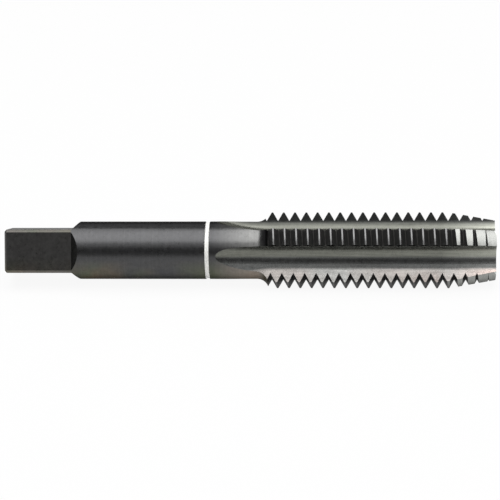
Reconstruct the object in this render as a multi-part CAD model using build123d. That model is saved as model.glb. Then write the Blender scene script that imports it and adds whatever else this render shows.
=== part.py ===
"""A hand tap for a 9/16 inch by 12 threads per inch, right-hand screw thread.

The tap is one bar of tool steel.  From the drive end it has a milled square, a
plain shank with a painted colour ring, a short flare, and a threaded body with
straight flutes and a tapered lead.  The shank is thinner than the thread, so
the tap passes right through the hole it cuts.

The tap is built upright on its drive end with its axis on Z.  At the end it is
laid along +X, turned so that it rests on two neighbouring lands.
"""
import os
from math import acos, ceil, cos, degrees, radians, sin, sqrt, tan

from build123d import *

# ---- sizes in millimetres and degrees ----
overall_length = 91.3
shank_diameter = 10.8

square_across_flats = 8.1
square_length = 12.5  # flats only, without the shoulder
shoulder_angle = 45.0  # slope of the shoulder that ends each flat
square_turn = 10.9  # from the first cutting edge round to a flat
end_chamfer = 0.35  # round the drive end

ring_gap = 1.15  # from the colour ring to the tips of the flutes
ring_width = 0.75
ring_groove = 0.22  # depth of the groove that the enamel lies in
ring_coat = 0.04  # thickness of the enamel

thread_length = 44.3  # from the shank to the tip
flare_radius = 2.25  # where the shank opens out to the thread
major_diameter = 14.29
pitch = 25.4 / 12
thread_angle = 60.0
crest_width = pitch / 8  # the roots are sharp
first_crest = 1.76  # height of a crest above the shank, at the first cutting edge

lead_threads = 4.0  # length of the tapered lead, in threads
tip_diameter = 11.25
lead_relief = 0.25  # how much lower the lead is at a land's heel than at its edge

flute_count = 4
web_diameter = 7.1  # of the solid core that the flutes leave
flute_radius = 2.8  # at the bottom of a flute
flute_angle = 85.2  # between the cutting face and the heel face
flute_start = 2.7  # full depth is reached this far above the shank
wheel_radius = 27.5  # of the grinding wheel, which leaves the flute below that

centre_diameter = 3.3  # cone in each end that holds the tap between centres
centre_angle = 60.0

overcut = 2.0  # how far the cutting shapes reach past the metal

# ---- sizes that follow from those ----
shank_r = shank_diameter / 2
major_r = major_diameter / 2
tip_r = tip_diameter / 2
reach = major_diameter + overcut
shank_length = overall_length - thread_length

flank = tan(radians(thread_angle / 2))
sharp_crest_r = major_r + crest_width / 2 / flank  # where the flanks of one tooth would meet
root_r = sharp_crest_r - pitch / 2 / flank
core_r = root_r - 0.05  # the teeth stand on a core just below their roots

flute_x = sqrt((web_diameter / 2 + flute_radius) ** 2 - flute_radius**2)  # centre of its bottom
heel_dx = cos(radians(flute_angle))
heel_dy = sin(radians(flute_angle))
heel_x = flute_x - flute_radius * heel_dy  # where the bottom meets the heel face
heel_y = flute_radius * (1 + heel_dx)
heel_turn = flute_angle - 90 + degrees(acos((heel_x * heel_dy - heel_y * heel_dx) / major_r))
land_turn = 360 / flute_count
land_width = land_turn - heel_turn  # angle from the cutting edge back to the heel

flute_height = shank_length + flute_start
shank_lift = sqrt((shank_r + flute_radius) ** 2 - flute_radius**2) - flute_x
flute_tip = flute_height - sqrt(wheel_radius**2 - (wheel_radius - shank_lift) ** 2)
ring_height = flute_tip - ring_gap - ring_width / 2


def bar():
    """The turned bar, as thick as the finished thread."""
    rise = major_r - shank_r
    flare_height = shank_length + sqrt(flare_radius**2 - (flare_radius - rise) ** 2)
    with BuildSketch(Plane.XZ) as section:
        with BuildLine():
            Line((0, 0), (shank_r, 0))
            Line((shank_r, 0), (shank_r, shank_length))
            RadiusArc((shank_r, shank_length), (major_r, flare_height), flare_radius)
            Line((major_r, flare_height), (major_r, overall_length))
            Line((major_r, overall_length), (0, overall_length))
            Line((0, overall_length), (0, 0))
        make_face()
    return revolve(section.sketch, axis=Axis.Z)


def square_side():
    """The metal milled away beside one flat of the square."""
    flat = square_across_flats / 2
    depth = shank_r - flat + overcut
    side = Polyline(
        (flat, -overcut),
        (flat, square_length),
        (flat + depth, square_length + depth / tan(radians(shoulder_angle))),
        (flat + depth, -overcut),
        close=True,
    )
    return extrude(Plane.XZ * make_face(side), shank_r + overcut, both=True)


def centre_hole():
    """A cone sunk into the end that stands at the origin."""
    depth = centre_diameter / 2 / tan(radians(centre_angle / 2))
    return Pos(Z=depth / 2) * Cone(centre_diameter / 2, 0, depth)


def ring(outer_r):
    """A band round the shank, from the bottom of the ring's groove out to outer_r."""
    inner = Cylinder(shank_r - ring_groove, ring_width)
    return Pos(Z=ring_height) * (Cylinder(outer_r, ring_width) - inner)


def rack():
    """The teeth of one land with sharp crests, wider than the land on both sides."""
    first = shank_length + first_crest - 2 * pitch
    count = ceil((overall_length - first) / pitch) + 2
    corners = [(core_r - overcut / 4, first - pitch / 2), (root_r, first - pitch / 2)]
    for tooth in range(count):
        middle = first + tooth * pitch
        corners.append((sharp_crest_r, middle))
        corners.append((root_r, middle + pitch / 2))
    corners.append((core_r - overcut / 4, first + (count - 0.5) * pitch))
    section = Plane.XZ * make_face(Polyline(*corners, close=True))
    path = Edge.make_helix(pitch, pitch * rack_width / 360, major_r)
    return Solid.sweep(section.face(), path, is_frenet=True)


def screwed(shape, turn):
    """The shape moved along the thread by an angle."""
    return Location((0, 0, pitch * turn / 360), (0, 0, turn)) * shape


def flute():
    """One flute: the wheel runs straight to the tip and leaves in an arc behind."""
    with BuildSketch(Plane.XY.offset(flute_height)) as section:
        with BuildLine():
            Line((reach, 0), (flute_x, 0))
            CenterArc((flute_x, flute_radius), flute_radius, -90, flute_angle - 180)
            heel = Line((heel_x, heel_y), (heel_x + reach * heel_dx, heel_y + reach * heel_dy))
            Line(heel @ 1, (reach, 0))
        make_face()
    straight = extrude(section.sketch, overall_length - flute_height + overcut)
    wheel_axis = Axis((flute_x - flute_radius + wheel_radius, 0, flute_height), (0, -1, 0))
    return straight + revolve(section.sketch, axis=wheel_axis, revolution_arc=60)


def lead_grind():
    """What is ground off one land to taper its lead, on a centre that lowers the heel."""
    slope = (major_r - tip_r) / (lead_threads * pitch)
    low = overall_length - lead_threads * pitch - lead_relief / slope - overcut
    high = overall_length + overcut
    side = Polyline(
        (tip_r + slope * (overall_length - low), low),
        (tip_r + slope * (overall_length - high), high),
        (reach, high),
        (reach, low),
        close=True,
    )
    ground = revolve(Plane.XZ * make_face(side), axis=Axis.Z, revolution_arc=land_turn)
    shift = lead_relief / sin(radians(land_width))
    return Pos(Y=shift) * Rot(Z=-(land_width + land_turn) / 2) * ground


# ---- the shank and the core, with the square, centres and ring groove ----
blank = bar()
tap = blank & Pos(Z=shank_length / 2) * Cylinder(reach, shank_length)
tap += blank & Pos(Z=overall_length / 2) * Cylinder(core_r, overall_length)
tap -= [Rot(Z=square_turn + 90 * side) * square_side() for side in range(4)]
tap = chamfer(tap.faces().sort_by(Axis.Z)[0].edges(), end_chamfer)
tap -= centre_hole()
tap -= Pos(Z=overall_length) * Rot(X=180) * centre_hole()
tap -= ring(shank_r + overcut)

# ---- teeth on every land, then the flutes and the lead ----
rack_width = land_width + heel_turn / 2
teeth = rack()
starts = [land * land_turn - (land_width + rack_width) / 2 for land in range(flute_count)]
tap += [blank & screwed(teeth, start) for start in starts]
cutters = [flute(), lead_grind()]
tap -= [Rot(Z=land * land_turn) * cutter for land in range(flute_count) for cutter in cutters]

# ---- laid down on two lands ----
nodes = {"tap_body": tap, "colour_ring": ring(shank_r - ring_groove + ring_coat)}
rest_turn = (land_width - land_turn) / 2
os.makedirs("parts", exist_ok=True)
for name, shape in nodes.items():
    laid = (Rot(Y=90) * Rot(Z=rest_turn) * shape).solid()
    laid.label = name
    export_step(laid, f"parts/{name}.step")
    print(name, round(laid.volume, 1), "mm3")
print("ring at", round(ring_height, 2), "flute tips at", round(flute_tip, 2))
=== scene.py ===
import math

import bmesh
import bpy
from mathutils import Matrix, Vector


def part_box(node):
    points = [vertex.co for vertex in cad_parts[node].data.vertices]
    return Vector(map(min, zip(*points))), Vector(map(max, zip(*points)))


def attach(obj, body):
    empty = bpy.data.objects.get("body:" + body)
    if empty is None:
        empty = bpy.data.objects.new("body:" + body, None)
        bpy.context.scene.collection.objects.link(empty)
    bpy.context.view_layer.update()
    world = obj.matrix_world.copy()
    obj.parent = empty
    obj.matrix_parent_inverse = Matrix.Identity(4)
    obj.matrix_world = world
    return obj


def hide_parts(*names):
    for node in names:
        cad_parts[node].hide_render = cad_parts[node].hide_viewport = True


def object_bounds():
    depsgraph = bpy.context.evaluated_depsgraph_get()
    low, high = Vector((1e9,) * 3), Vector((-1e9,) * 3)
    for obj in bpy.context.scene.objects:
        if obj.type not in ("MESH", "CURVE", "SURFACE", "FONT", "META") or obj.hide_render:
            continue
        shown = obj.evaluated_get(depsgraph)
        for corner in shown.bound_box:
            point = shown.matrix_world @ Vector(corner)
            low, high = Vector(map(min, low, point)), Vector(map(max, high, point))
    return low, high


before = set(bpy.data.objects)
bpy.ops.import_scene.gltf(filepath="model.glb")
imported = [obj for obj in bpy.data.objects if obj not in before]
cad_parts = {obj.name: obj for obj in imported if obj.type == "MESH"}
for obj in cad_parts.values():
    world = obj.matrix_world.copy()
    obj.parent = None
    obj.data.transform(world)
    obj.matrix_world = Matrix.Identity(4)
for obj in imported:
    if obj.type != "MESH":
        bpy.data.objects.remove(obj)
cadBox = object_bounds()
mm = 0.001
tapMiddle = 0.0455  # m from the drive end: the floor and the lamps are centred here
scene = bpy.context.scene
print("frame loaded:", ", ".join(sorted(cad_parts)))


cameraValues = {
    "lens": 148.57,  # mm
    "sensor": 36,  # mm wide
    "clip": (0.01, 20),  # m
    "elevation": 24.0,  # degrees above the floor
    "distance": 385.8,  # mm from the tap's axis
    "foot": 66.0,  # mm from the drive end: the camera stands square to the axis here
    "yaw": 3.02,  # degrees turned back towards the drive end
    "lift": 0.04,  # mm, up the picture
}


def makeCamera(values):
    data = bpy.data.cameras.new("tapCamera")
    data.lens = values["lens"]
    data.sensor_width = values["sensor"]
    data.clip_start, data.clip_end = values["clip"]
    camera = bpy.data.objects.new("tapCamera", data)
    scene.collection.objects.link(camera)
    elevation = math.radians(values["elevation"])
    yaw = math.radians(values["yaw"])
    along = Vector((1, 0, 0))
    away = Vector((0, -math.cos(elevation), math.sin(elevation)))  # from the axis to the camera
    up = Vector((0, math.sin(elevation), math.cos(elevation)))  # keeps the tap level in the picture
    back = math.cos(yaw) * away + math.sin(yaw) * along
    right = math.cos(yaw) * along - math.sin(yaw) * away
    place = along * values["foot"] * mm + away * values["distance"] * mm + up * values["lift"] * mm
    turn = Matrix((right, up, back)).transposed()
    camera.matrix_world = Matrix.Translation(place) @ turn.to_4x4()
    scene.camera = camera


makeCamera(cameraValues)
print("camera ready")


def fromHex(code):  # an sRGB hex colour to linear
    parts = [int(code[i:i + 2], 16) / 255 for i in (1, 3, 5)]
    return [p / 12.92 if p <= 0.04045 else ((p + 0.055) / 1.055) ** 2.4 for p in parts] + [1.0]


def addNode(tree, kind, inputs=None, **settings):  # an input takes a value, a socket or a node
    node = tree.nodes.new("ShaderNode" + kind)
    for name, value in settings.items():
        setattr(node, name, value)
    for name, value in (inputs or {}).items():
        if isinstance(value, bpy.types.Node):
            value = value.outputs[0]
        if isinstance(value, bpy.types.NodeSocket):
            tree.links.new(value, node.inputs[name])
        else:
            node.inputs[name].default_value = value
    return node


def spanOf(pair):  # where a fade begins and where it is whole
    return {"From Min": pair[0], "From Max": pair[1]}


def addMesh(name, bm):  # the bmesh becomes an object of the scene
    mesh = bpy.data.meshes.new(name)
    bm.to_mesh(mesh)
    bm.free()
    made = bpy.data.objects.new(name, mesh)
    scene.collection.objects.link(made)
    return made


def newMaterial(name):
    material = bpy.data.materials.new(name)
    material.use_nodes = True
    material.node_tree.nodes.clear()
    return material, material.node_tree


# High-speed steel, ground all over and then blackened in steam. The oxide is a dark grey skin
# with a soft metal gloss and faint brown and olive tints. The flutes and the lead are ground
# last, so they are paler. Most pairs below say where a look begins and where it is whole.
tapSteel = {
    "oxide": "#4e4e4f",
    "square": "#646362",
    # painted shade: the square's sloping shoulders are drawn darker
    "shoulderShade": "#3b3b3a",
    "flank": "#5d5d5c",
    "root": "#838381",
    "neck": "#70706f",  # the shank beside the flutes, where the oxide is thinner
    "flute": "#70716a",
    "fluteFootShade": "#5b5c5b",  # cooler in tint, and darker towards the heel as painted shade
    # painted shade: the cutting faces are drawn darkest
    "cuttingShade": "#323332",
    "underTeethLight": "#646560",  # painted light: a cutting face that looks down, below its teeth, is drawn lighter
    "heel": "#b8b8b5",
    "crest": "#6e6e6e",
    "lead": "#9b9c99",
    "heat": "#6f6452",  # the brown that the oxide turns where the steel ran hotter
    "olive": "#5f6350",  # and the olive at the edge of the brown
    "heatShare": 0.65,
    "neckHeat": "#837a71",  # the same on the neck's underside
    "warm": "#b3a29b",  # the pinkish tint of the heel flats, all over them by the tip
    "warmShare": 0.6,  # of it in the patches before that
    "tipShine": 1.05,  # what the flutes gain in brightness by the tip, as a share
    "squareTopShade": 0.76,  # painted shade: how bright the square's upper flat is against its front one
    "rim": "#9c9c9c",  # how much of a grazing reflection the oxide keeps
    "oxideRough": 0.3,
    "flankRough": 0.42,
    "groundRough": 0.28,
    "metallic": 1.0,
    "flankMetallic": 0.85,  # the flanks' oxide is thick and dull
    "underMetallic": 0.3,  # and lowest below the teeth, which makes them look lighter: painted light
    # places along the tap, in mm from the drive end
    "squareEnd": 12.5,
    "shoulderEnd": 14.5,
    "fluteStart": 39.0,
    "brightStart": 43.0,  # the heel flats brighten from here to the thread
    "neckStart": 39.0,
    "neckEnd": 46.0,
    "flareStart": 47.0,
    "flareFade": (1.5, 0.3),  # mm past its start, where the neck's tint goes
    "threadStart": 49.2,
    "leadStart": 82.8,
    "leadFade": 0.6,  # mm before it, where its tint begins
    "tip": (81.0, 91.0),  # the look of the tip comes in over this
    # places out from the axis, in mm
    "rootRadius": 5.15,  # nothing inside this is crest or lead
    "rootFade": (5.74, 5.6),  # the grinding wheel's edge leaves the bottom of the thread brighter
    "floorRadius": 5.36,
    "cuttingFade": (3.8, 5.5),
    "underFade": (5.7, 5.5),
    "underside": (0.5, -2.5),  # mm above the axis
    # which way a face looks, as a cosine
    "outward": 0.9,  # from the axis
    "steep": 0.7,  # along the tap
    "sloping": 0.6,
    "sideways": 0.6,  # round the tap
    "heelTurn": (0.82, 0.87),
    "cuttingTurn": (-0.6, -0.95),
    "footTurn": (-0.15, 0.25),
    "upward": 0.6,
    "downward": (0.2, -0.3),
    # the marks
    "lineSpacing": 0.28,  # mm: real lines are near 0.02 mm apart, and are drawn coarser to show
    "fluteLine": 0.35,  # mm across the flute, also drawn coarser
    "fluteLineLength": 9.0,
    "mottle": 0.75,  # mm, the oxide's cloudy patches
    "stain": 13.0,  # mm, the heat tints
    "drift": 6.0,  # mm, the change from brown to olive
    "lineGrain": (2.0, 0.6),  # a noise's detail and roughness
    "mottleGrain": (4.0, 0.65),
    "driftDetail": 2.0,
    "stainDetail": 3.0,
    "noise": (0.25, 0.75),  # what a noise mostly spans
    "stained": (0.4, 0.65),  # the parts of a noise that make a tint
    "hue": (0.4, 0.6),
    "patchy": (0.45, 0.7),
    "cloud": (0.84, 1.16),  # brightness of the patches
    "unevenRough": 0.05,
    "turnedContrast": 0.07,
    "fluteContrast": 0.2,
    "lineDepth": 0.0025,  # mm
    "lineStrength": 0.6,
}


def findPlaces(tree):  # where a point of the tap is, in mm, and which way its face looks
    where = addNode(tree, "TexCoord")
    inMm = addNode(tree, "VectorMath", {0: where.outputs["Object"], "Scale": 1 / mm},
                   operation="SCALE")
    place = addNode(tree, "SeparateXYZ", {0: inMm})
    across = addNode(tree, "VectorMath", {0: inMm, 1: (0, 1, 1)}, operation="MULTIPLY")
    radius = addNode(tree, "VectorMath", {0: across}, operation="LENGTH")
    radial = addNode(tree, "VectorMath", {0: across}, operation="NORMALIZE")
    around = addNode(tree, "VectorMath", {0: radial, 1: (1, 0, 0)}, operation="CROSS_PRODUCT")
    normal = where.outputs["Normal"]
    facing = addNode(tree, "VectorMath", {0: normal, 1: radial}, operation="DOT_PRODUCT")
    turned = addNode(tree, "VectorMath", {0: normal, 1: around}, operation="DOT_PRODUCT")
    normalParts = addNode(tree, "SeparateXYZ", {0: normal})
    endways = addNode(tree, "Math", {0: normalParts}, operation="ABSOLUTE")
    return {"inMm": inMm, "x": place.outputs[0], "height": place.outputs[2],
            "radius": radius.outputs["Value"], "facing": facing.outputs["Value"],
            "turned": turned.outputs["Value"], "up": normalParts.outputs[2], "endways": endways}


# the next three give masks, from 0 to 1, for the faces that they are named after


def findThread(tree, values, at):
    threaded = addNode(tree, "Math", {0: at["x"], 1: values["threadStart"]},
                       operation="GREATER_THAN")
    outside = addNode(tree, "Math", {0: at["radius"], 1: values["rootRadius"]},
                      operation="GREATER_THAN")
    outward = addNode(tree, "Math", {0: at["facing"], 1: values["outward"]},
                      operation="GREATER_THAN")
    onThread = addNode(tree, "Math", {0: threaded, 1: outside}, operation="MULTIPLY")
    crest = addNode(tree, "Math", {0: onThread, 1: outward}, operation="MULTIPLY")
    leadSpan = (values["leadStart"] - values["leadFade"], values["leadStart"])
    lead = addNode(tree, "MapRange", {"Value": at["x"], **spanOf(leadSpan)})
    lead = addNode(tree, "Math", {0: crest, 1: lead}, operation="MULTIPLY")
    steep = addNode(tree, "Math", {0: at["endways"], 1: values["steep"]},
                    operation="GREATER_THAN")
    flank = addNode(tree, "Math", {0: steep, 1: threaded}, operation="MULTIPLY")
    deep = addNode(tree, "MapRange", {"Value": at["radius"], **spanOf(values["rootFade"])})
    root = addNode(tree, "Math", {0: flank, 1: deep}, operation="MULTIPLY")
    return {"crest": crest, "lead": lead, "flank": flank, "root": root}


def findFlutes(tree, values, at):
    turnedShare = addNode(tree, "Math", {0: at["turned"]}, operation="ABSOLUTE")
    sideways = addNode(tree, "Math", {0: turnedShare, 1: values["sideways"]},
                       operation="GREATER_THAN")
    sunk = addNode(tree, "Math", {0: at["radius"], 1: values["floorRadius"]},
                   operation="LESS_THAN")
    pastStart = addNode(tree, "Math", {0: at["x"], 1: values["fluteStart"]},
                        operation="GREATER_THAN")
    level = addNode(tree, "Math", {0: at["endways"], 1: values["steep"]}, operation="LESS_THAN")
    flute = addNode(tree, "Math", {0: sunk, 1: sideways}, operation="MAXIMUM")
    flute = addNode(tree, "Math", {0: flute, 1: pastStart}, operation="MULTIPLY")
    flute = addNode(tree, "Math", {0: flute, 1: level}, operation="MULTIPLY")

    # painted shade: a darker colour for the cutting faces
    cuttingShade = addNode(tree, "MapRange", {"Value": at["turned"], **spanOf(values["cuttingTurn"])})
    outer = addNode(tree, "MapRange", {"Value": at["radius"], **spanOf(values["cuttingFade"])})
    cuttingShade = addNode(tree, "Math", {0: cuttingShade, 1: outer}, operation="MULTIPLY")
    cuttingShade = addNode(tree, "Math", {0: cuttingShade, 1: flute}, operation="MULTIPLY")
    # painted light: the cutting faces that look down, below the teeth, are made lighter and less
    # metallic
    underTeethLight = addNode(tree, "MapRange", {"Value": at["radius"], **spanOf(values["underFade"])})
    underTeethLight = addNode(tree, "Math", {0: underTeethLight, 1: cuttingShade}, operation="MULTIPLY")
    downward = addNode(tree, "MapRange", {"Value": at["up"], **spanOf(values["downward"])})
    underTeethLight = addNode(tree, "Math", {0: underTeethLight, 1: downward}, operation="MULTIPLY")

    heel = addNode(tree, "MapRange", {"Value": at["turned"], **spanOf(values["heelTurn"])},
                   interpolation_type="SMOOTHSTEP")
    brightSpan = (values["brightStart"], values["threadStart"])
    bright = addNode(tree, "MapRange", {"Value": at["x"], **spanOf(brightSpan)})
    heel = addNode(tree, "Math", {0: heel, 1: bright}, operation="MULTIPLY")
    heel = addNode(tree, "Math", {0: heel, 1: flute}, operation="MULTIPLY")
    # painted shade: the flute's foot gets a darker colour
    foot = addNode(tree, "MapRange", {"Value": at["turned"], **spanOf(values["footTurn"])},
                   interpolation_type="SMOOTHSTEP")
    foot = addNode(tree, "Math", {0: foot, 1: flute}, operation="MULTIPLY")
    nearTip = addNode(tree, "MapRange", {"Value": at["x"], **spanOf(values["tip"])})
    return {"flute": flute, "cuttingShade": cuttingShade, "underTeethLight": underTeethLight, "heel": heel,
            "fluteFootShade": foot, "nearTip": nearTip}


def findShank(tree, values, at):
    square = addNode(tree, "Math", {0: at["x"], 1: values["squareEnd"]}, operation="LESS_THAN")
    upperFlat = addNode(tree, "Math", {0: at["up"], 1: values["upward"]},
                        operation="GREATER_THAN")
    upperFlat = addNode(tree, "Math", {0: upperFlat, 1: square}, operation="MULTIPLY")
    # painted shade: the sloping shoulders next to the square get a darker colour
    sloping = addNode(tree, "Math", {0: at["endways"], 1: values["sloping"]},
                      operation="GREATER_THAN")
    early = addNode(tree, "Math", {0: at["x"], 1: values["shoulderEnd"]}, operation="LESS_THAN")
    shoulderShade = addNode(tree, "Math", {0: sloping, 1: early}, operation="MULTIPLY")
    shoulderShade = addNode(tree, "Math", {0: shoulderShade, 1: square}, operation="SUBTRACT",
                       use_clamp=True)

    neckSpan = (values["neckStart"], values["neckEnd"])
    neck = addNode(tree, "MapRange", {"Value": at["x"], **spanOf(neckSpan)})
    flareSpan = [values["flareStart"] + past for past in values["flareFade"]]
    flaring = addNode(tree, "MapRange", {"Value": at["x"], **spanOf(flareSpan)})
    neck = addNode(tree, "Math", {0: neck, 1: flaring}, operation="MULTIPLY")
    underside = addNode(tree, "MapRange", {"Value": at["height"], **spanOf(values["underside"])})
    neckHeat = addNode(tree, "Math", {0: neck, 1: underside}, operation="MULTIPLY")
    heated = addNode(tree, "Math", {0: underside, 1: upperFlat}, operation="MAXIMUM")
    return {"square": square, "upperFlat": upperFlat, "shoulderShade": shoulderShade, "neck": neck,
            "neckHeat": neckHeat, "heated": heated}


def addMarks(tree, values, at, flute):  # grinding lines, cloudy patches and tints, as noises
    detail, grain = values["lineGrain"]
    ringWay = addNode(tree, "CombineXYZ", {0: at["x"], 1: at["radius"]})
    turnedLines = addNode(tree, "TexNoise", {"Vector": ringWay, "Scale": 1 / values["lineSpacing"],
                                             "Detail": detail, "Roughness": grain})
    stretch = (values["fluteLine"] / values["fluteLineLength"], 1, 1)
    lengthways = addNode(tree, "VectorMath", {0: at["inMm"], 1: stretch}, operation="MULTIPLY")
    fluteLines = addNode(tree, "TexNoise", {"Vector": lengthways, "Scale": 1 / values["fluteLine"],
                                            "Detail": detail, "Roughness": grain})
    lines = addNode(tree, "Mix", {0: flute, 2: turnedLines, 3: fluteLines})
    detail, grain = values["mottleGrain"]
    mottle = addNode(tree, "TexNoise", {"Vector": at["inMm"], "Scale": 1 / values["mottle"],
                                        "Detail": detail, "Roughness": grain})
    drift = addNode(tree, "TexNoise", {"Vector": at["inMm"], "Scale": 1 / values["drift"],
                                       "Detail": values["driftDetail"]})
    stain = addNode(tree, "TexNoise", {"Vector": at["inMm"], "Scale": 1 / values["stain"],
                                       "Detail": values["stainDetail"]})
    return {"lines": lines, "mottle": mottle, "drift": drift, "stain": stain}


def layColours(tree, values, faces, marks):  # each colour is laid over the last
    hue = addNode(tree, "MapRange", {"Value": marks["drift"], **spanOf(values["hue"])})
    heatColour = addNode(tree, "Mix", {0: hue, 6: fromHex(values["heat"]),
                                       7: fromHex(values["olive"])}, data_type="RGBA").outputs[2]
    stained = addNode(tree, "MapRange", {"Value": marks["stain"], **spanOf(values["stained"]),
                                         "To Max": values["heatShare"]})
    stained = addNode(tree, "Math", {0: stained, 1: faces["heated"]}, operation="MULTIPLY")
    colour = addNode(tree, "Mix", {0: faces["square"], 6: fromHex(values["oxide"]),
                                   7: fromHex(values["square"])}, data_type="RGBA").outputs[2]
    colour = addNode(tree, "Mix", {0: stained, 6: colour, 7: heatColour},
                     data_type="RGBA").outputs[2]
    for name in ("shoulderShade", "neck", "neckHeat", "flank", "root", "flute", "fluteFootShade",
                 "cuttingShade", "underTeethLight", "heel", "crest", "lead"):
        colour = addNode(tree, "Mix", {0: faces[name], 6: colour, 7: fromHex(values[name])},
                         data_type="RGBA").outputs[2]
    patchy = addNode(tree, "MapRange", {"Value": marks["stain"], **spanOf(values["patchy"]),
                                        "To Max": values["warmShare"]})
    warmed = addNode(tree, "Math", {0: patchy, 1: faces["nearTip"]}, operation="MAXIMUM")
    warmed = addNode(tree, "Math", {0: warmed, 1: faces["heel"]}, operation="MULTIPLY")
    return addNode(tree, "Mix", {0: warmed, 6: colour, 7: fromHex(values["warm"])},
                   data_type="RGBA").outputs[2]


def findBrightness(tree, values, faces, marks):  # what the colours are multiplied by
    dim, bright = values["cloud"]
    cloud = addNode(tree, "MapRange", {"Value": marks["mottle"], **spanOf(values["noise"]),
                                       "To Min": dim, "To Max": bright})
    contrast = addNode(tree, "Mix", {0: faces["flute"], 2: values["turnedContrast"],
                                     3: values["fluteContrast"]})
    streak = addNode(tree, "MapRange", {"Value": marks["lines"], **spanOf(values["noise"]),
                                        "To Min": -1.0, "To Max": 1.0})
    streak = addNode(tree, "Math", {0: streak, 1: contrast, 2: 1.0}, operation="MULTIPLY_ADD")
    polished = addNode(tree, "Math", {0: faces["nearTip"], 1: faces["flute"]},
                       operation="MULTIPLY")
    polished = addNode(tree, "Math", {0: polished, 1: values["tipShine"], 2: 1.0},
                       operation="MULTIPLY_ADD")
    # painted shade: the square's upper flat is dimmed
    topShade = addNode(tree, "Math", {0: faces["upperFlat"], 1: values["squareTopShade"] - 1, 2: 1.0},
                     operation="MULTIPLY_ADD")
    shade = cloud
    for part in (streak, polished, topShade):
        shade = addNode(tree, "Math", {0: shade, 1: part}, operation="MULTIPLY")
    return shade


def makeTapSteel(values):
    material, tree = newMaterial("steamBlackenedToolSteel")
    at = findPlaces(tree)
    faces = {**findThread(tree, values, at), **findFlutes(tree, values, at),
             **findShank(tree, values, at)}
    marks = addMarks(tree, values, at, faces["flute"])
    colour = layColours(tree, values, faces, marks)
    shade = findBrightness(tree, values, faces, marks)
    colour = addNode(tree, "VectorMath", {0: colour, "Scale": shade}, operation="SCALE")
    ground = addNode(tree, "Math", {0: faces["flute"], 1: faces["crest"]}, operation="MAXIMUM")
    rough = addNode(tree, "Mix", {0: ground, 2: values["oxideRough"], 3: values["groundRough"]})
    rough = addNode(tree, "Mix", {0: faces["flank"], 2: rough, 3: values["flankRough"]})
    uneven = addNode(tree, "MapRange", {"Value": marks["mottle"], **spanOf(values["noise"]),
                                        "To Min": -values["unevenRough"],
                                        "To Max": values["unevenRough"]})
    rough = addNode(tree, "Math", {0: rough, 1: uneven}, operation="ADD")
    metal = addNode(tree, "Mix", {0: faces["flank"], 2: values["metallic"],
                                  3: values["flankMetallic"]})
    # painted light: less metal on the downward cutting faces lightens them
    metal = addNode(tree, "Mix", {0: faces["underTeethLight"], 2: metal, 3: values["underMetallic"]})
    bump = addNode(tree, "Bump", {"Height": marks["lines"], "Strength": values["lineStrength"],
                                  "Distance": values["lineDepth"] * mm})
    shader = addNode(tree, "BsdfPrincipled", {"Base Color": colour, "Roughness": rough,
                                              "Metallic": metal, "Normal": bump,
                                              "Specular Tint": fromHex(values["rim"])})
    addNode(tree, "OutputMaterial", {"Surface": shader})
    return material


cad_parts["tap_body"].material_slots[0].material = makeTapSteel(tapSteel)
print("tap steel ready")


# White enamel in a shallow groove, brushed on and baked: it has a soft gloss, and is thicker
# where it climbs the walls.
enamelBand = {
    "colour": "#fbfbf8",
    "thin": "#f5f4ef",  # where the coat is thin
    "patch": 1.2,  # mm
    "patchDetail": 2.0,
    "patches": (0.45, 0.75),  # the part of the noise that is thin
    "roughness": 0.3,
    "waveDepth": 0.01,  # mm
    "waveStrength": 0.1,
    "coat": 0.04,  # mm at the bottom of the groove
    "recess": 0.18,  # mm from there up to the shank's surface
    "below": 0.015,  # mm from the lip up to the shank's surface
    "lip": 0.05,  # mm thick on the walls
    "fillet": 0.09,  # mm, where the coat turns up the walls
    "filletSteps": 4,
    "steps": 120,
    "sameMm": 1e-4,  # closer than this is one place
}


def makeEnamel(values):
    material, tree = newMaterial("bakedWhiteEnamel")
    where = addNode(tree, "TexCoord")
    patches = addNode(tree, "TexNoise", {"Vector": where.outputs["Object"],
                                         "Scale": 1 / (values["patch"] * mm),
                                         "Detail": values["patchDetail"]})
    thin = addNode(tree, "MapRange", {"Value": patches, **spanOf(values["patches"])})
    colour = addNode(tree, "Mix", {0: thin, 6: fromHex(values["colour"]),
                                   7: fromHex(values["thin"])}, data_type="RGBA").outputs[2]
    bump = addNode(tree, "Bump", {"Height": patches, "Strength": values["waveStrength"],
                                  "Distance": values["waveDepth"] * mm})
    shader = addNode(tree, "BsdfPrincipled", {"Base Color": colour, "Normal": bump,
                                              "Roughness": values["roughness"]})
    addNode(tree, "OutputMaterial", {"Surface": shader})
    return material


def makeEnamelBand(values):
    low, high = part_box("colour_ring")
    bottom = high.z - values["coat"] * mm
    surface = high.z + values["recess"] * mm - values["below"] * mm
    lip = values["lip"] * mm
    same = values["sameMm"] * mm
    section = [(low.x, bottom), (high.x, bottom), (high.x, surface), (high.x - lip, surface),
               (high.x - lip, high.z), (low.x + lip, high.z), (low.x + lip, surface),
               (low.x, surface)]
    bm = bmesh.new()
    verts = [bm.verts.new((x, 0, r)) for x, r in section]
    edges = [bm.edges.new((verts[i], verts[i - 1])) for i in range(len(verts))]
    bmesh.ops.spin(bm, geom=verts + edges, cent=(0, 0, 0), axis=(1, 0, 0), angle=2 * math.pi,
                   steps=values["steps"], use_merge=True)
    bmesh.ops.recalc_face_normals(bm, faces=bm.faces)
    inner = [e for e in bm.edges
             if all(abs(math.hypot(v.co.y, v.co.z) - high.z) < same for v in e.verts)
             and abs(e.verts[0].co.x - e.verts[1].co.x) < same]
    bmesh.ops.bevel(bm, geom=inner, offset=values["fillet"] * mm, segments=values["filletSteps"],
                    profile=0.5, affect="EDGES", material=-1)
    for face in bm.faces:
        face.smooth = True
    band = addMesh("enamelBand", bm)
    band.data.materials.append(makeEnamel(values))
    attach(band, "root")
    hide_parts("colour_ring")


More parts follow.
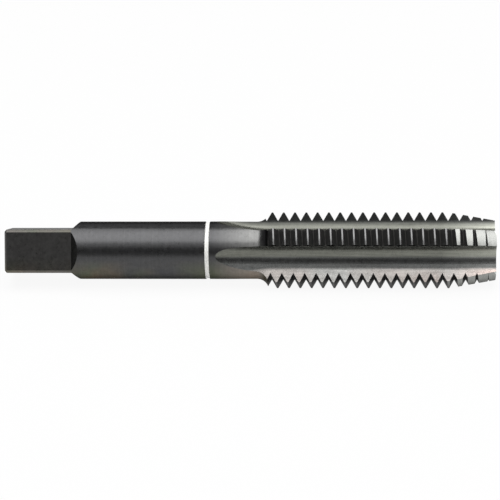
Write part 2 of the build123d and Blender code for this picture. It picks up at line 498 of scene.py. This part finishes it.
makeEnamelBand(enamelBand)
print("enamel band ready")


# Matte white paper: it has no gloss, so it shows only the soft shade where the tap lies on it.
studioFloor = {
    "halfSize": 3.0,  # m
    "colour": "#f2f2f2",
    "roughness": 0.9,
    "gap": 0.02,  # mm under the tap
    "glow": 0.92,  # the share that is plain white to the eye
    "mirrorGlow": 0.72,  # the same for what is seen in the metal
}


def makePaper(values):
    material, tree = newMaterial("mattePaper")
    paper = addNode(tree, "BsdfPrincipled", {"Base Color": fromHex(values["colour"]),
                                             "Roughness": values["roughness"],
                                             "Specular IOR Level": 0.0})
    white = addNode(tree, "Emission", {"Strength": 1.0})
    ray = addNode(tree, "LightPath")
    mirrored = addNode(tree, "Math", {0: ray.outputs["Is Glossy Ray"],
                                      1: ray.outputs["Is Transmission Ray"]},
                       operation="MAXIMUM")
    share = addNode(tree, "Math", {0: mirrored, 1: values["mirrorGlow"]}, operation="MULTIPLY")
    share = addNode(tree, "Math", {0: ray.outputs["Is Camera Ray"], 1: values["glow"], 2: share},
                    operation="MULTIPLY_ADD")
    mix = addNode(tree, "MixShader", {0: share, 1: paper, 2: white})
    addNode(tree, "OutputMaterial", {"Surface": mix})
    return material


def makeFloor(values):
    bm = bmesh.new()
    bmesh.ops.create_grid(bm, x_segments=1, y_segments=1, size=values["halfSize"])
    bmesh.ops.translate(bm, verts=bm.verts,
                        vec=(tapMiddle, 0, cadBox[0].z - values["gap"] * mm))
    floor = addMesh("studioFloor", bm)
    floor.data.materials.append(makePaper(values))


makeFloor(studioFloor)


# turn is in degrees round the tap, from level in front to overhead at 90; the sizes are in m
softboxes = {
    "main": {"turn": 86.0, "distance": 0.6, "length": 0.68, "width": 0.66, "radiance": 2.8},
    "fill": {"turn": 48.0, "distance": 0.6, "length": 0.9, "width": 0.22, "radiance": 0.7},
    "back": {"turn": 146.0, "distance": 0.6, "length": 0.9, "width": 0.3, "radiance": 0.5},
}
studioRoom = {
    "horizon": 0.3,  # brightness below the band
    "room": 0.18,  # and above it
    "band": (0.13, 0.19),  # height of the band, as a sine
}


def makeSoftbox(name, values):
    data = bpy.data.lights.new(name, "AREA")
    data.shape = "RECTANGLE"
    data.size = values["length"]
    data.size_y = values["width"]
    data.energy = values["radiance"] * math.pi * values["length"] * values["width"]
    lamp = bpy.data.objects.new(name, data)
    scene.collection.objects.link(lamp)
    turn = math.radians(values["turn"])
    away = Vector((0, -math.cos(turn), math.sin(turn)))
    lamp.location = Vector((tapMiddle, 0, 0)) + away * values["distance"]
    lamp.rotation_euler = away.to_track_quat("Z", "Y").to_euler()


def makeRoom(values):
    world = bpy.data.worlds.new("studioRoom")
    scene.world = world
    world.use_nodes = True
    tree = world.node_tree
    tree.nodes.clear()
    where = addNode(tree, "TexCoord")
    axes = addNode(tree, "SeparateXYZ", {0: where.outputs["Generated"]})
    ramp = addNode(tree, "MapRange", {"Value": axes.outputs[2], **spanOf(values["band"]),
                                      "To Min": values["horizon"], "To Max": values["room"]},
                   interpolation_type="SMOOTHSTEP")
    background = addNode(tree, "Background", {"Color": ramp, "Strength": 1.0})
    addNode(tree, "OutputWorld", {"Surface": background})


for name in softboxes:
    makeSoftbox(name + "Softbox", softboxes[name])
makeRoom(studioRoom)
scene.view_settings.view_transform = "Standard"
print("floor and light ready")
